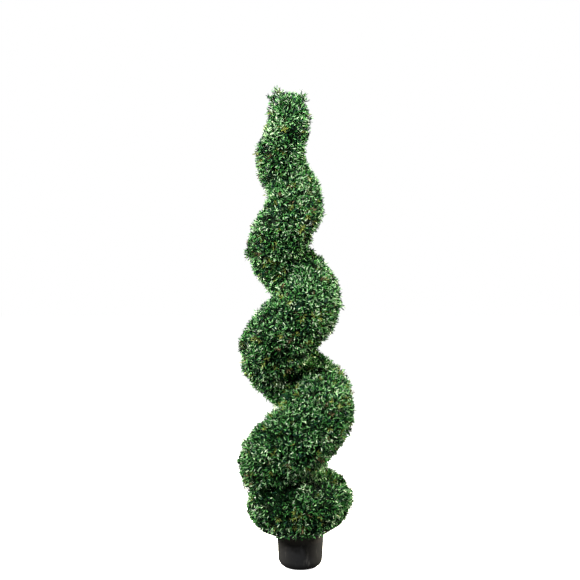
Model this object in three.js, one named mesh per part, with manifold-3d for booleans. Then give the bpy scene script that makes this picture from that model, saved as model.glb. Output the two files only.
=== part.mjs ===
// Artificial boxwood spiral topiary in a plain round pot, in millimetres, +Z up.
// The origin is the centre of the pot's flat underside, and the front faces -Y.
// One leaning pole carries a fat coil of clipped foliage that climbs it anticlockwise, seen from above.
import * as THREE from "three";
import { MeshSurfaceSampler } from "three/addons/math/MeshSurfaceSampler.js";
import { mergeVertices } from "three/addons/utils/BufferGeometryUtils.js";
import Module from "manifold-3d";

const wasm = await Module();
wasm.setup();

const clearance = 0.3; // between pieces that touch
const overallHeight = 1800; // from the floor to the highest leaf

const pot = {
  height: 124,
  footRadius: 80.6, // of the wall, carried down to the floor
  mouthRadius: 88,
  cornerRadius: 30,
  cornerSteps: 5,
  wall: 2.5,
  floor: 4,
  fillHeight: 108,
  sides: 32,
};

const pole = {
  footX: 11.3, // where its axis meets the floor, to the right of the pot's centre
  leanDegrees: 2.46, // to the left
  footHeight: 12,
  topHeight: 1735,
  footRadius: 11,
  topRadius: 7,
  sides: 12,
};

// Heights are measured along the pole.
// Lists give a size at even steps of the climb, from the coil's foot to its tip.
const coil = {
  footHeight: 220,
  tipHeight: 1714,
  offset: [131, 81, 66, 35, 19], // from the pole to the middle of the coil
  reach: [108, 136, 122.5, 103.5, 72.5], // from the middle of the coil to the leaf tips
  turn: [44, 355.5, 682, 1041, 1490], // degrees round the pole, from the right-hand side
  firstJoint: 270, // the first joint between masses is at the front, the next at the back
  jointEvery: 180,
  joints: 7,
  jointGap: 0.5,
  undersideHeight: 198, // where the coil is cut off flat beside the base cushion
  endShare: 0.97, // radius of its rounded ends over that of the tube
  endRings: 8,
  sides: 14,
  stepLength: 45,
  spaceSteps: 40, // in which a mass's own space is followed along the coil
};

// The round cushion at the foot, and the conical tray under it.
const base = {
  tiltDegrees: 2.5, // more than the pole leans
  tiltHeight: 123, // that it tilts about
  height: 243,
  ringRadius: 100,
  reach: 98,
  floorHeight: 135,
  bareRim: 14, // of the tray, outside the core
  undercut: -50, // degrees below level where the core's round side starts
  sides: 28, // of the tray too, so that one nests in the other
  arcSteps: 8,
};
const tray = {
  innerRadius: 96.5,
  outerRadius: 154.2,
  innerHeight: 123.1,
  outerHeight: 155.1,
  thickness: 3,
};

// Leaves are larger than life: each stands for a sprig of the real plant.
const foliage = {
  depth: 30, // from the core to the leaf tips
  overreach: 5, // that a tip may stand past the outline
  spacing: 93,
  tries: 6000,
  baseSize: 0.85, // of the cushion's sprigs, against those at the coil's foot
  baseSeed: 13,
  coilSeed: 21,
  twigRadius: 5,
  twigSunk: 14,
  twigLength: 38, // with the sunk end
  leavesPerTwig: 3,
  lean: [38, 44, 50, 56, 62, 68, 74, 80, 86], // degrees off the twig that a leaf may be laid over
  leafRoll: 0.6,
  leaderX: -22, // of the highest leaves, from the pole's axis
  leaderLean: 10,
  leaderLength: 82,
  leafLength: [62, 82],
  leafShare: 0.46, // width over length
  leafThickness: 2.4,
  leafSunk: 6,
  leafRoot: [2, 9], // height above the core where a leaf leaves its twig
  sway: 0.3, // how far a twig leans off the core's normal
};

const { degToRad, lerp } = THREE.MathUtils;

// Solids

function toSolid(geometry) {
  const bare = geometry.clone();
  bare.deleteAttribute("normal");
  bare.deleteAttribute("uv");
  const merged = mergeVertices(bare, 1e-3);
  return new wasm.Manifold(
    new wasm.Mesh({
      numProp: 3,
      vertProperties: new Float32Array(merged.attributes.position.array),
      triVerts: new Uint32Array(merged.index.array),
    }),
  );
}

function toGeometry(solid) {
  const mesh = solid.getMesh();
  const geometry = new THREE.BufferGeometry();
  geometry.setAttribute("position", new THREE.BufferAttribute(mesh.vertProperties, 3));
  geometry.setIndex(new THREE.BufferAttribute(mesh.triVerts, 1));
  geometry.computeVertexNormals();
  return geometry;
}

// The largest body of a cut or joined solid, without loose scraps and with sealed hollows filled.
function mainBody(solid) {
  return solid.decompose().reduce((best, body) => (body.volume() > best.volume() ? body : best));
}

// A shape turned about Z, from [radius, height] points that run from its foot up its outside.
function turned(points, sides) {
  const profile = points.map(([radius, height]) => new THREE.Vector2(radius, height));
  return new THREE.LatheGeometry(profile, sides).rotateX(Math.PI / 2);
}

function arcPoints(centre, radius, fromDegrees, toDegrees, steps) {
  return Array.from({ length: steps + 1 }, (_, i) => {
    const angle = degToRad(lerp(fromDegrees, toDegrees, i / steps));
    return [centre[0] + radius * Math.cos(angle), centre[1] + radius * Math.sin(angle)];
  });
}

function seededRandom(seed) {
  let state = seed;
  return () => {
    state = (state + 0x6d2b79f5) | 0;
    let bits = Math.imul(state ^ (state >>> 15), 1 | state);
    bits = (bits + Math.imul(bits ^ (bits >>> 7), 61 | bits)) ^ bits;
    return ((bits ^ (bits >>> 14)) >>> 0) / 4294967296;
  };
}

// Pot

const potSlope = (pot.mouthRadius - pot.footRadius) / pot.height;

// The pot's outline drawn in by an inset: its foot, its rounded corner and its wall up to a height.
function potOutline(inset, floor, top) {
  const corner = pot.cornerRadius - inset;
  const wallAt = (height) => pot.footRadius + potSlope * height - inset;
  const middle = [wallAt(floor + corner) - corner, floor + corner];
  return [
    [0, floor],
    ...arcPoints(middle, corner, -90, 0, pot.cornerSteps),
    [wallAt(top), top],
  ];
}

function potShell() {
  const outside = potOutline(0, 0, pot.height);
  const inside = potOutline(pot.wall, pot.floor, pot.height).reverse();
  return turned([...outside, ...inside], pot.sides);
}

function potFill() {
  const outline = potOutline(pot.wall + clearance, pot.floor + clearance, pot.fillHeight);
  return turned([...outline, [0, pot.fillHeight]], pot.sides);
}

// Pole

function poleRadiusAt(height) {
  return lerp(pole.footRadius, pole.topRadius, height / pole.topHeight);
}

function poleShape(grow) {
  const outline = [
    [0, pole.footHeight - grow],
    [poleRadiusAt(pole.footHeight) + grow, pole.footHeight - grow],
    [pole.topRadius + grow, pole.topHeight + grow],
    [0, pole.topHeight + grow],
  ];
  return turned(outline, pole.sides);
}

// The pole's own frame, in which the tray and all the foliage are made too.
function standOnPole(object) {
  object.position.x = pole.footX;
  object.rotation.y = -degToRad(pole.leanDegrees);
  object.updateMatrix();
  return object;
}

// Coil

// A size part of the way up the coil, on the smooth curve through all values of its list.
function between(values, climb) {
  const steps = climb * (values.length - 1);
  const weight = (i) =>
    values.reduce((share, _, j) => (j === i ? share : (share * (steps - j)) / (i - j)), 1);
  return values.reduce((sum, value, i) => sum + value * weight(i), 0);
}

function coilPoint(climb, target = new THREE.Vector3()) {
  const turn = degToRad(between(coil.turn, climb));
  const offset = between(coil.offset, climb);
  const height = lerp(coil.footHeight, coil.tipHeight, climb);
  return target.set(offset * Math.cos(turn), offset * Math.sin(turn), height);
}

// How far up the coil, from 0 to 1, it has turned by so many degrees.
function climbAtTurn(degrees) {
  let [low, high] = [0, 1];
  while (high - low > 1e-6) {
    const middle = (low + high) / 2;
    if (between(coil.turn, middle) < degrees) low = middle;
    else high = middle;
  }
  return low;
}

class CoilStretch extends THREE.Curve {
  constructor(start, end) {
    super();
    this.start = start;
    this.end = end;
  }
  getPoint(t, target) {
    return coilPoint(lerp(this.start, this.end, t), target);
  }
}

// A closed tube round a stretch of the coil: swept thin, and then each ring is grown to the core's radius.
function coilTube(stretch) {
  const steps = Math.ceil(stretch.getLength() / coil.stepLength);
  const section = new THREE.Shape().absarc(0, 0, 1, 0, 2 * Math.PI);
  const tube = new THREE.ExtrudeGeometry(section, {
    steps,
    curveSegments: coil.sides / 2,
    bevelEnabled: false,
    extrudePath: stretch,
  });
  const rings = stretch.getSpacedPoints(steps);
  const radii = rings.map((_, i) => {
    const climb = lerp(stretch.start, stretch.end, stretch.getUtoTmapping(i / steps));
    return between(coil.reach, climb) - foliage.depth;
  });
  const place = tube.attributes.position;
  const point = new THREE.Vector3();
  for (let i = 0; i < place.count; i += 1) {
    point.fromBufferAttribute(place, i);
    const gaps = rings.map((ring) => ring.distanceTo(point));
    const ring = gaps.indexOf(Math.min(...gaps));
    point.sub(rings[ring]).multiplyScalar(radii[ring]).add(rings[ring]);
    place.setXYZ(i, ...point);
  }
  return tube;
}

// The round end of the coil, a little slimmer than the tube that it closes.
function coilEnd(climb) {
  const radius = coil.endShare * (between(coil.reach, climb) - foliage.depth);
  return new THREE.SphereGeometry(radius, coil.sides, coil.endRings)
    .rotateX(Math.PI / 2)
    .translate(...coilPoint(climb));
}

// A slab that takes away what the coil's foot would reach beside and below the base cushion.
function belowCoil() {
  const width = 2 * (coil.offset[0] + coil.reach[0]);
  return new THREE.BoxGeometry(width, width, coil.undersideHeight)
    .translate(0, 0, coil.undersideHeight / 2);
}

// Base cushion and tray

const traySlope = (tray.outerHeight - tray.innerHeight) / (tray.outerRadius - tray.innerRadius);
const trayRise = tray.thickness * Math.hypot(1, traySlope); // the tray's thickness, measured upright

function trayTop(radius) {
  return tray.innerHeight + trayRise + (radius - tray.innerRadius) * traySlope;
}

function tiltBase(geometry) {
  return geometry
    .translate(0, 0, -base.tiltHeight)
    .rotateY(-degToRad(base.tiltDegrees))
    .translate(0, 0, base.tiltHeight);
}

function trayShape() {
  const outline = [
    [tray.innerRadius, tray.innerHeight],
    [tray.outerRadius, tray.outerHeight],
    [tray.outerRadius, trayTop(tray.outerRadius)],
    [tray.innerRadius, trayTop(tray.innerRadius)],
    [tray.innerRadius, tray.innerHeight],
  ];
  return tiltBase(turned(outline, base.sides));
}

// The cushion's core, grown all round its top by a margin.
function cushionCore(grow) {
  const coreRadius = base.reach - foliage.depth + grow;
  const edgeRadius = tray.outerRadius - base.bareRim;
  const floorRadius = tray.innerRadius + (base.floorHeight - trayTop(tray.innerRadius)) / traySlope;
  const outline = [
    [0, base.floorHeight + clearance],
    [floorRadius, base.floorHeight + clearance],
    [edgeRadius, trayTop(edgeRadius) + clearance],
    ...arcPoints([base.ringRadius, base.height], coreRadius, base.undercut, 90, base.arcSteps),
    [0, base.height + coreRadius],
  ];
  return tiltBase(turned(outline, base.sides));
}

// A point's radius and height in the cushion's own tilted frame.
function inCushionFrame(point) {
  const tilt = degToRad(base.tiltDegrees);
  const up = point.z - base.tiltHeight;
  const x = point.x * Math.cos(tilt) + up * Math.sin(tilt);
  const height = up * Math.cos(tilt) - point.x * Math.sin(tilt) + base.tiltHeight;
  return { radius: Math.hypot(x, point.y), height };
}

function insideCushion(point, margin) {
  const { radius, height } = inCushionFrame(point);
  const outward = Math.max(radius - base.ringRadius, 0);
  return Math.hypot(outward, height - base.height) < base.reach + margin;
}

// Beside the tray, a leaf keeps above the tray's rim.
function aboveTray(point) {
  const { radius, height } = inCushionFrame(point);
  return height > trayTop(Math.min(radius, tray.outerRadius)) + clearance;
}

// Own space of each mass

class CoilSpace {
  constructor(start, end) {
    this.points = Array.from({ length: coil.spaceSteps + 1 }, (_, i) => {
      const climb = lerp(start, end, i / coil.spaceSteps);
      return { middle: coilPoint(climb), reach: between(coil.reach, climb) };
    });
    const stretch = new CoilStretch(start, end);
    this.ends = [0, 1].map((t) => ({ point: stretch.getPoint(t), along: stretch.getTangent(t) }));
  }
  withinReach(point, margin) {
    return this.points.some(({ middle, reach }) => middle.distanceTo(point) < reach + margin);
  }
  pastEnd(which, point) {
    const { point: end, along } = this.ends[which];
    const past = point.clone().sub(end).dot(along);
    return which === 0 ? past < clearance : past > -clearance;
  }
}

// Twigs and leaves

function aimed(geometry, root, direction, roll) {
  const turn = new THREE.Quaternion().setFromUnitVectors(new THREE.Vector3(0, 0, 1), direction);
  return geometry.rotateZ(roll).applyQuaternion(turn).translate(...root);
}

function twigShape(root, direction, roll) {
  const twig = new THREE.ConeGeometry(foliage.twigRadius, foliage.twigLength, 3)
    .rotateX(Math.PI / 2)
    .translate(0, 0, foliage.twigLength / 2);
  return aimed(twig, root, direction, roll);
}

function leafShape(root, direction, length, roll) {
  const leaf = new THREE.OctahedronGeometry(1)
    .scale((length * foliage.leafShare) / 2, foliage.leafThickness / 2, length / 2)
    .translate(0, 0, length / 2);
  return aimed(leaf, root, direction, roll);
}

function corners(geometry) {
  const place = geometry.attributes.position;
  return Array.from({ length: place.count }, (_, i) => new THREE.Vector3().fromBufferAttribute(place, i));
}

// One twig with its leaves in a whorl. Each leaf is laid over until it is inside the mass's own space.
function sprig(point, normal, size, random, fits) {
  const sway = new THREE.Vector3(random() - 0.5, random() - 0.5, random() - 0.5);
  const stem = normal.clone().addScaledVector(sway, foliage.sway).normalize();
  const side = new THREE.Vector3().crossVectors(stem, sway).normalize();
  const root = point.clone().addScaledVector(stem, -foliage.twigSunk);
  const twig = twigShape(root, stem, random() * Math.PI);
  const firstTurn = random() * 2 * Math.PI;
  const leaves = [];
  for (let i = 0; i < foliage.leavesPerTwig; i += 1) {
    const length = size * lerp(...foliage.leafLength, random());
    const height = lerp(...foliage.leafRoot, random());
    const roll = random() * foliage.leafRoll;
    const turn = firstTurn + (i / foliage.leavesPerTwig) * 2 * Math.PI;
    const outward = side.clone().applyAxisAngle(stem, turn);
    const laidOver = foliage.lean.map((degrees) => {
      const lean = degToRad(degrees);
      const direction = new THREE.Vector3()
        .addScaledVector(stem, Math.cos(lean))
        .addScaledVector(outward, Math.sin(lean));
      const start = point.clone().addScaledVector(stem, height);
      start.addScaledVector(direction, -foliage.leafSunk);
      return leafShape(start, direction, length, roll);
    });
    const leaf = laidOver.find(fits);
    if (leaf) leaves.push(leaf);
  }
  return fits(twig) && leaves.length > 1 ? [twig, ...leaves] : [];
}

// Sprigs spread evenly over a core, where they keep to the mass's own space and clear of the pole.
function withSprigs(core, ownSpace, size, seed, more = []) {
  const random = seededRandom(seed);
  const sampler = new MeshSurfaceSampler(new THREE.Mesh(toGeometry(core)));
  sampler.setRandomGenerator(random).build();
  const fits = (shape) =>
    corners(shape).every(ownSpace) && toSolid(shape).intersect(limbs).isEmpty();
  const taken = [];
  const sprigs = [...more];
  for (let i = 0; i < foliage.tries; i += 1) {
    const point = new THREE.Vector3();
    const normal = new THREE.Vector3();
    sampler.sample(point, normal);
    if (taken.some((other) => other.distanceTo(point) < foliage.spacing * size)) continue;
    const pieces = sprig(point, normal, size, random, fits);
    if (!pieces.length) continue;
    taken.push(point);
    sprigs.push(...pieces);
  }
  return mainBody(sprigs.reduce((mass, piece) => mass.add(toSolid(piece)), core));
}

// The highest leaves stand almost upright at the very top.
function leader() {
  const topHeight = overallHeight / Math.cos(degToRad(pole.leanDegrees));
  const top = new THREE.Vector3(foliage.leaderX, 0, topHeight);
  return Array.from({ length: foliage.leavesPerTwig }, (_, i) => {
    const lean = degToRad(foliage.leaderLean);
    const turn = (i / foliage.leavesPerTwig) * 2 * Math.PI;
    const direction = new THREE.Vector3(Math.cos(turn), Math.sin(turn), 0)
      .multiplyScalar(Math.sin(lean))
      .setZ(Math.cos(lean));
    const start = top.clone().setZ(top.z - foliage.leaderLength * Math.cos(lean));
    return leafShape(start, direction, foliage.leaderLength, turn);
  });
}

// Foliage masses

const bore = toSolid(poleShape(clearance));
const limbs = bore.add(toSolid(trayShape()));
const cushion = toSolid(cushionCore(0));
const cushionRoom = toSolid(cushionCore(clearance));

// The joints between the masses up the coil, as shares of its climb: each at its back or its front.
const joints = Array.from({ length: coil.joints }, (_, i) =>
  climbAtTurn(coil.firstJoint + i * coil.jointEvery),
);
joints.unshift(0);
joints.push(1);
const halfGap = coil.jointGap / 2 / new CoilStretch(0, 1).getLength();

function baseMass() {
  const firstCoil = new CoilSpace(joints[0], joints[1]);
  const ownSpace = (place) =>
    insideCushion(place, foliage.overreach) && aboveTray(place) && !firstCoil.withinReach(place, clearance);
  return withSprigs(cushion.subtract(bore), ownSpace, foliage.baseSize, foliage.baseSeed);
}

function coilMass(index) {
  const [start, end] = [joints[index], joints[index + 1]];
  const space = new CoilSpace(start, end);
  const isFirst = index === 0;
  const isLast = index === joints.length - 2;
  const stretch = new CoilStretch(isFirst ? 0 : start + halfGap, isLast ? 1 : end - halfGap);
  let core = toSolid(coilTube(stretch));
  if (isFirst) {
    core = core.add(toSolid(coilEnd(0))).subtract(cushionRoom);
    core = core.subtract(toSolid(belowCoil()));
  }
  if (isLast) core = core.add(toSolid(coilEnd(1)));
  const ownSpace = (place) =>
    space.withinReach(place, foliage.overreach) &&
    (isFirst || !space.pastEnd(0, place)) &&
    (isLast || !space.pastEnd(1, place)) &&
    (!isFirst || (!insideCushion(place, clearance) && place.z > coil.undersideHeight));
  const size = Math.sqrt(between(coil.reach, (start + end) / 2) / coil.reach[0]);
  const more = isLast ? leader() : [];
  return withSprigs(mainBody(core.subtract(bore)), ownSpace, size, foliage.coilSeed + index, more);
}

// The whole plant

const looks = {
  pot: new THREE.MeshStandardMaterial({ color: 0x2b2b2d, roughness: 0.55, metalness: 0 }),
  fill: new THREE.MeshStandardMaterial({ color: 0x77736c, roughness: 0.95, metalness: 0 }),
  pole: new THREE.MeshStandardMaterial({ color: 0x2f3a28, roughness: 0.6, metalness: 0 }),
  foliage: new THREE.MeshStandardMaterial({ color: 0x3c5a34, roughness: 0.6, metalness: 0 }),
};

function named(name, geometry, look) {
  const mesh = new THREE.Mesh(geometry, look.clone());
  mesh.name = name;
  return mesh;
}

const plant = new THREE.Group();
const onPole = standOnPole(new THREE.Group());

const fillBore = poleShape(clearance).applyMatrix4(onPole.matrix);
const fill = toSolid(potFill()).subtract(toSolid(fillBore));
plant.add(named("pot", potShell(), looks.pot));
plant.add(named("pot_fill", toGeometry(fill), looks.fill));

onPole.add(named("trunk", poleShape(0), looks.pole));
onPole.add(named("base_tray", trayShape(), looks.pot));
onPole.add(named("foliage_base", toGeometry(baseMass()), looks.foliage));
for (let i = 0; i < coil.joints; i += 1) {
  onPole.add(named(`foliage_coil_${i + 1}`, toGeometry(coilMass(i)), looks.foliage));
}
onPole.add(named("foliage_top", toGeometry(coilMass(coil.joints)), looks.foliage));
plant.add(onPole);

export default plant;
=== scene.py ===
import math

import bmesh
import bpy
import numpy as np
from mathutils import Matrix, Vector


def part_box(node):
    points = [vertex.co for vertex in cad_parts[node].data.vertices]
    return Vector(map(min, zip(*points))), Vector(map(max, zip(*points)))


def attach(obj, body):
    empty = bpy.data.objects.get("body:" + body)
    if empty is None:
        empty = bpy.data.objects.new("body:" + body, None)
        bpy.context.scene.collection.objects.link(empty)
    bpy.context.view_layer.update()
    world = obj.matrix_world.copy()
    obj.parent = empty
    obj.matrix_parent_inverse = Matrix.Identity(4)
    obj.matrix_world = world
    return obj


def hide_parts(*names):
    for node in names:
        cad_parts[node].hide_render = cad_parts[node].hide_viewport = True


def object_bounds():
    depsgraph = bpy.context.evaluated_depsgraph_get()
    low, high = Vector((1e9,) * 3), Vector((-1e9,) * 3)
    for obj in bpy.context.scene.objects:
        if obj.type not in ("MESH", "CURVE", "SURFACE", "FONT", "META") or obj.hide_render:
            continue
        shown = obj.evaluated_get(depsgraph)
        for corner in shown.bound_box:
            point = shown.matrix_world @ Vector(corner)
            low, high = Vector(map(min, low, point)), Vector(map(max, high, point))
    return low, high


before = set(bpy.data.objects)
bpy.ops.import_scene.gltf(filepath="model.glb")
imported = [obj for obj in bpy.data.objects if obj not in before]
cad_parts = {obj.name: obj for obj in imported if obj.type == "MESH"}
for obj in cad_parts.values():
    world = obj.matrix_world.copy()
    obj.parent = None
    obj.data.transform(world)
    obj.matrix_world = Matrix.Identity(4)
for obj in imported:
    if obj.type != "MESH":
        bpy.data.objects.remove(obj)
cadLow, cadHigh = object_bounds()
print("frame loaded,", len(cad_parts), "nodes")

# Artificial boxwood spiral topiary in a plain black pot. Metres, +Z up, front towards -Y.
# The pole leans a little to the left, and carries the tray, the cushion and the coil of foliage.


# Stage

camera = {
    "place": (-0.0389, -3.196, 1.034),
    "lens": 52.8,
    "sensor": 36,
}

studio = {
    "floorSize": 60,
    "floorColour": (0.93, 0.93, 0.93, 1),
    "floorRoughness": 0.9,
    "bounceColour": (0.05, 0.05, 0.05, 1),  # what the floor throws back at the plant
    "floorGlow": 1.0,
    "skyColour": (1, 1, 1, 1),
    "ambient": 0.028,
    "rimColour": (1, 0.93, 0.76),  # of the two rim lights
    "lights": [  # name, place, aimed at, size, power
        ("keyLight", (-1.5, -2.8, 2.8), (0, 0, 1.1), 0.35, 272),
        ("fillLight", (1.5, -2.8, 1.8), (0, 0, 1.1), 0.8, 6),
        ("topLight", (0.4, -0.5, 3.1), (0, 0, 1.4), 0.7, 52),
        ("leftRimLight", (-1.8, 0.5, 1.4), (0, 0, 1.1), 0.9, 200),
        ("rightRimLight", (1.8, 0.5, 1.4), (0, 0, 1.1), 0.9, 250),
        ("backLight", (0.3, 2.8, 2.2), (0, 0, 1.0), 1.0, 110),
    ],
}


def deselectAll():
    if bpy.context.object and bpy.context.object.mode != "OBJECT":
        bpy.ops.object.mode_set(mode="OBJECT")
    bpy.ops.object.select_all(action="DESELECT")


def buildCamera():
    deselectAll()
    bpy.ops.object.camera_add(location=camera["place"], rotation=(math.radians(90), 0, 0))
    view = bpy.context.object
    view.data.lens = camera["lens"]
    view.data.sensor_width = camera["sensor"]
    bpy.context.scene.camera = view


def makeFloorPaper():
    # white paper that looks evenly lit, and throws back less light than it shows
    paper = bpy.data.materials.new("floorPaper")
    paper.use_nodes = True
    tree = paper.node_tree
    shown = tree.nodes["Principled BSDF"]
    shown.inputs["Base Color"].default_value = studio["floorColour"]
    shown.inputs["Roughness"].default_value = studio["floorRoughness"]
    shown.inputs["Specular IOR Level"].default_value = 0
    shown.inputs["Emission Color"].default_value = (1, 1, 1, 1)
    shown.inputs["Emission Strength"].default_value = studio["floorGlow"]
    bounce = tree.nodes.new("ShaderNodeBsdfDiffuse")
    bounce.inputs["Color"].default_value = studio["bounceColour"]
    choice = tree.nodes.new("ShaderNodeMixShader")
    tree.links.new(tree.nodes.new("ShaderNodeLightPath").outputs["Is Camera Ray"], choice.inputs[0])
    tree.links.new(bounce.outputs[0], choice.inputs[1])
    tree.links.new(shown.outputs[0], choice.inputs[2])
    tree.links.new(choice.outputs[0], tree.nodes["Material Output"].inputs["Surface"])
    return paper


def makeWorld():
    # white behind the plant, and a dim even light on it
    world = bpy.data.worlds.new("studioWorld")
    world.use_nodes = True
    tree = world.node_tree
    light = tree.nodes["Background"]
    light.inputs["Strength"].default_value = studio["ambient"]
    sky = tree.nodes.new("ShaderNodeBackground")
    sky.inputs["Color"].default_value = studio["skyColour"]
    light.inputs["Color"].default_value = studio["skyColour"]
    choice = tree.nodes.new("ShaderNodeMixShader")
    tree.links.new(tree.nodes.new("ShaderNodeLightPath").outputs["Is Camera Ray"], choice.inputs[0])
    tree.links.new(light.outputs[0], choice.inputs[1])
    tree.links.new(sky.outputs[0], choice.inputs[2])
    tree.links.new(choice.outputs[0], tree.nodes["World Output"].inputs["Surface"])
    bpy.context.scene.world = world


def buildStudio():
    deselectAll()
    bpy.ops.mesh.primitive_plane_add(size=studio["floorSize"])
    floor = bpy.context.object
    floor.name = "studio_floor"
    floor.data.materials.append(makeFloorPaper())
    for name, place, aim, size, power in studio["lights"]:
        bpy.ops.object.light_add(type="AREA", location=place)
        light = bpy.context.object
        light.name = name
        light.data.size = size
        light.data.energy = power
        if "Rim" in name:
            light.data.color = studio["rimColour"]
        light.rotation_euler = (Vector(aim) - Vector(place)).to_track_quat("-Z", "Y").to_euler()
    makeWorld()
    bpy.context.scene.view_settings.view_transform = "Standard"


buildCamera()
buildStudio()
print("camera and studio ready")


# Material tools

noise = {
    "grainDetail": 3.0,
    "mottleDetail": 5.0,
    "mottleScale": 0.12,  # of the grain's
    "scuffDetail": 4.0,
    "scuffEdge": 0.12,  # how far past the threshold a scuff is full
    "dustAndHighlightDetail": 5.0,
}


def newGroup(name, inputs, outputs):
    group = bpy.data.node_groups.new(name, "ShaderNodeTree")
    for label, kind, value in inputs:
        socket = group.interface.new_socket(name=label, in_out="INPUT", socket_type=kind)
        socket.default_value = value
    for label, kind in outputs:
        group.interface.new_socket(name=label, in_out="OUTPUT", socket_type=kind)
    start = group.nodes.new("NodeGroupInput")
    end = group.nodes.new("NodeGroupOutput")
    return group, start, end


def feed(tree, socket, source):
    # by a link from an output socket, or with a plain value
    if hasattr(source, "is_output"):
        tree.links.new(source, socket)
    else:
        socket.default_value = source


def addNode(tree, kind, links=(), **values):
    # links are (input name or number, output socket or value), and values are the node's own settings
    node = tree.nodes.new(kind)
    for key, value in values.items():
        setattr(node, key, value)
    for label, source in links:
        feed(tree, node.inputs[label], source)
    return node


# Fine moulding grain: a soft mottle and a finer pebble, from 0 to 1.
def makeGrainGroup():
    group, start, end = newGroup(
        "mouldingGrain",
        [("Place", "NodeSocketVector", (0, 0, 0)), ("Scale", "NodeSocketFloat", 300)],
        [("Grain", "NodeSocketFloat"), ("Mottle", "NodeSocketFloat")],
    )
    place, scale = start.outputs["Place"], start.outputs["Scale"]
    coarse = addNode(group, "ShaderNodeMath", [(0, scale), (1, noise["mottleScale"])], operation="MULTIPLY")
    fine = addNode(group, "ShaderNodeTexNoise", [
        ("Vector", place), ("Scale", scale), ("Detail", noise["grainDetail"]),
    ])
    mottle = addNode(group, "ShaderNodeTexNoise", [
        ("Vector", place), ("Scale", coarse.outputs[0]), ("Detail", noise["mottleDetail"]),
    ])
    group.links.new(fine.outputs["Fac"], end.inputs["Grain"])
    group.links.new(mottle.outputs["Fac"], end.inputs["Mottle"])
    return group


# Long thin scuffs, stretched along one way by the Stretch factors, as a mask from 0 to 1.
def makeScuffGroup():
    group, start, end = newGroup(
        "scuffs",
        [
            ("Place", "NodeSocketVector", (0, 0, 0)),
            ("Stretch", "NodeSocketVector", (1, 1, 1)),
            ("Scale", "NodeSocketFloat", 60),
            ("Threshold", "NodeSocketFloat", 0.6),
        ],
        [("Mask", "NodeSocketFloat")],
    )
    stretched = addNode(group, "ShaderNodeVectorMath", [
        (0, start.outputs["Place"]), (1, start.outputs["Stretch"]),
    ], operation="MULTIPLY")
    scale, threshold = start.outputs["Scale"], start.outputs["Threshold"]
    streaks = addNode(group, "ShaderNodeTexNoise", [
        ("Vector", stretched.outputs[0]), ("Scale", scale), ("Detail", noise["scuffDetail"]),
    ])
    full = addNode(group, "ShaderNodeMath", [(0, threshold), (1, noise["scuffEdge"])], operation="ADD")
    mask = addNode(group, "ShaderNodeMapRange", [
        ("Value", streaks.outputs["Fac"]), ("From Min", threshold), ("From Max", full.outputs[0]),
    ])
    group.links.new(mask.outputs["Result"], end.inputs["Mask"])
    return group


# A paler band that is full at one height and gone at another, broken up by noise: dust, and round the pot's
# rim a painted highlight.
def makeDustAndHighlightGroup():
    group, start, end = newGroup(
        "dustAndHighlightBand",
        [
            ("Place", "NodeSocketVector", (0, 0, 0)),
            ("Full At", "NodeSocketFloat", 0),
            ("Gone At", "NodeSocketFloat", 0.05),
            ("Scale", "NodeSocketFloat", 40),
        ],
        [("Mask", "NodeSocketFloat")],
    )
    place, scale = start.outputs["Place"], start.outputs["Scale"]
    parts = addNode(group, "ShaderNodeSeparateXYZ", [(0, place)])
    height = addNode(group, "ShaderNodeMapRange", [
        ("Value", parts.outputs["Z"]),
        ("From Min", start.outputs["Gone At"]),
        ("From Max", start.outputs["Full At"]),
    ])
    clouds = addNode(group, "ShaderNodeTexNoise", [
        ("Vector", place), ("Scale", scale), ("Detail", noise["dustAndHighlightDetail"]),
    ])
    mask = addNode(group, "ShaderNodeMath", [
        (0, height.outputs["Result"]), (1, clouds.outputs["Fac"]),
    ], operation="MULTIPLY")
    group.links.new(mask.outputs[0], end.inputs["Mask"])
    return group


grainGroup = makeGrainGroup()
scuffGroup = makeScuffGroup()
dustAndHighlightGroup = makeDustAndHighlightGroup()


def newMaterial(name):
    material = bpy.data.materials.new(name)
    material.use_nodes = True
    tree = material.node_tree
    place = tree.nodes.new("ShaderNodeTexCoord").outputs["Object"]
    return material, tree, tree.nodes["Principled BSDF"], place


def useGroup(tree, group, links):
    return addNode(tree, "ShaderNodeGroup", links, node_tree=group)


def mixColours(tree, share, first, second):
    # sockets 6 and 7 are the mix node's colours, and output 2 is its colour
    node = addNode(tree, "ShaderNodeMix", [(0, share), (6, first), (7, second)], data_type="RGBA")
    return node.outputs[2]


def addBump(tree, shader, height, strength, distance):
    bump = addNode(tree, "ShaderNodeBump", [
        ("Height", height), ("Strength", strength), ("Distance", distance),
    ])
    tree.links.new(bump.outputs["Normal"], shader.inputs["Normal"])


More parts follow.
